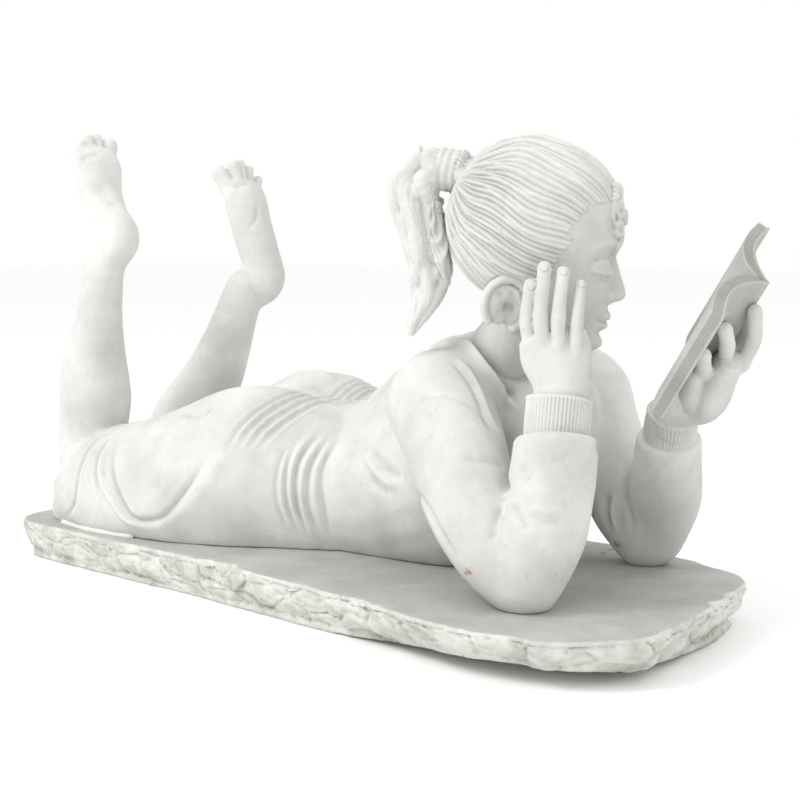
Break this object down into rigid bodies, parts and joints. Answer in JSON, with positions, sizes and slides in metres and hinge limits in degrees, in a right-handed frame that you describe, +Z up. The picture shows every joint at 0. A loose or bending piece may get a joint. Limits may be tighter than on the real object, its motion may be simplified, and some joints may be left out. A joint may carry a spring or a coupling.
{
  "type": "reading girl statue",
  "caption": "Cast garden statue of a girl lying on her front on a rock slab, feet up, cheek on her hand, reading an open book.",
  "frame": {"origin": "middle of the plinth's flat underside", "axes": "+Z up, +X along the girl from her knees to the book, +Y to her left"},
  "size_m": [1.0397, 0.4991, 0.5567],
  "materials": {
    "pale_cast_stone": "matte",
    "book_cast_stone": "matte",
    "grey_cast_rock": "matte"
  },
  "bodies": {
    "root": {"girl": "pale_cast_stone", "book": "book_cast_stone", "plinth": "grey_cast_rock"}
  },
  "joints": []
}
